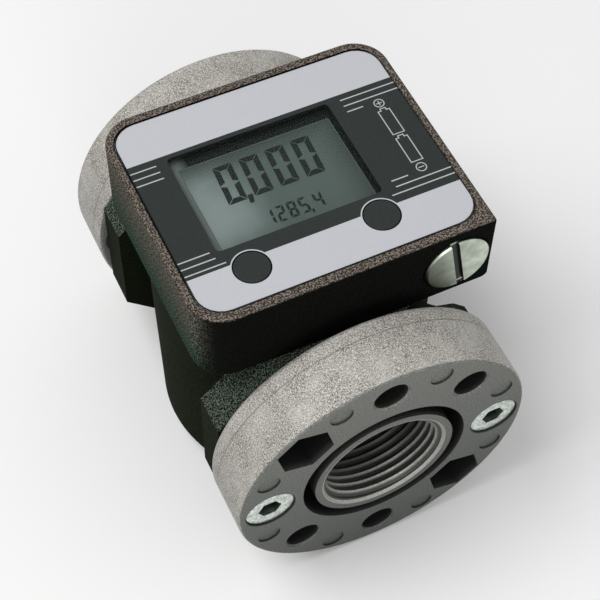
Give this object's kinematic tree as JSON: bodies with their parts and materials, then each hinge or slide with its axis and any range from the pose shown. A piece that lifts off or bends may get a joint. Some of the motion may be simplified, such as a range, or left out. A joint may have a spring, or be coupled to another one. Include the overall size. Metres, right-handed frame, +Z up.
{
  "type": "turbine flow meter",
  "caption": "In-line turbine flow meter: threaded round flanges each side of a drum body, battery display head on top.",
  "frame": {"origin": "centre of the inlet flange face, on the flow axis", "axes": "+Y along the flow from inlet to outlet, +Z up towards the display, +X to the right seen from the inlet"},
  "size_m": [0.08, 0.111, 0.093],
  "materials": {
    "black_paint": "die-cast aluminium under coarse black textured paint",
    "cast_aluminium": "blasted die-cast aluminium",
    "zinc_steel": "bright zinc plate",
    "nickel_plate": "turned and nickel plated",
    "magnet": "sintered magnet, nickel plated",
    "label_film": "satin printed film",
    "clear_pane": "clear polycarbonate",
    "lcd_glass": "grey-green liquid crystal glass",
    "rubber": "black nitrile rubber",
    "board_laminate": "green solder mask",
    "black_plastic": "moulded black",
    "button_plastic": "moulded charcoal",
    "cell_jacket": "plain printed jacket",
    "acetal": "machined and moulded acetal",
    "bush_bronze": "sintered bronze"
  },
  "bodies": {
    "meter": {"battery_contact": "nickel_plate", "board_screws": "zinc_steel", "bottom_cover": "black_paint", "circuit_board": "board_laminate", "contact_strips": "rubber", "cover_oring": "rubber", "cover_screws": "zinc_steel", "deck_gasket": "rubber", "deck_screws": "zinc_steel", "display_housing": "black_paint", "display_window": "clear_pane", "front_battery": "cell_jacket", "inlet_bush": "bush_bronze", "inlet_flange": "cast_aluminium", "inlet_flange_oring": "rubber", "inlet_flange_screws": "zinc_steel", "inlet_vanes": "acetal", "label_plate": "label_film", "lcd_panel": "lcd_glass", "measuring_insert": "acetal", "meter_body": "black_paint", "outlet_bush": "bush_bronze", "outlet_flange": "cast_aluminium", "outlet_flange_oring": "rubber", "outlet_flange_screws": "zinc_steel", "outlet_vanes": "acetal", "pickup_sensor": "black_plastic", "rear_battery": "cell_jacket", "retaining_rings": "zinc_steel", "tact_switches": "black_plastic"},
    "rotor": {"turbine_rotor": "acetal", "rotor_shaft": "zinc_steel", "rotor_magnets": "magnet"},
    "left_key": {"left_button": "button_plastic"},
    "right_key": {"right_button": "button_plastic"},
    "cap_seal": {"cap_oring": "rubber"},
    "cap": {"battery_cap": "nickel_plate"}
  },
  "joints": [
    {"name": "rotor_spin", "type": "hinge", "parent": "meter", "child": "rotor", "pos_m": [0, 0.0555, 0], "axis": [0, 1, 0], "continuous": true},
    {"name": "left_button_press", "type": "slide", "parent": "meter", "child": "left_key", "axis": [0, 0, -1], "range_m": [0, 0.0006], "stiffness_N_per_m": 300},
    {"name": "right_button_press", "type": "slide", "parent": "meter", "child": "right_key", "axis": [0, 0, -1], "range_m": [0, 0.0006], "stiffness_N_per_m": 300},
    {"name": "cap_lift", "type": "slide", "parent": "meter", "child": "cap_seal", "axis": [0, -1, 0], "range_m": [0, 0.00675]},
    {"name": "cap_turn", "type": "hinge", "parent": "cap_seal", "child": "cap", "pos_m": [0.0283, 0.0214, 0.04145], "axis": [0, -1, 0], "range_deg": [0, 1620]}
  ],
  "couplings": [
    {"joint": "cap_turn", "follows": "cap_lift", "rad_per_m": 4188.8}
  ]
}
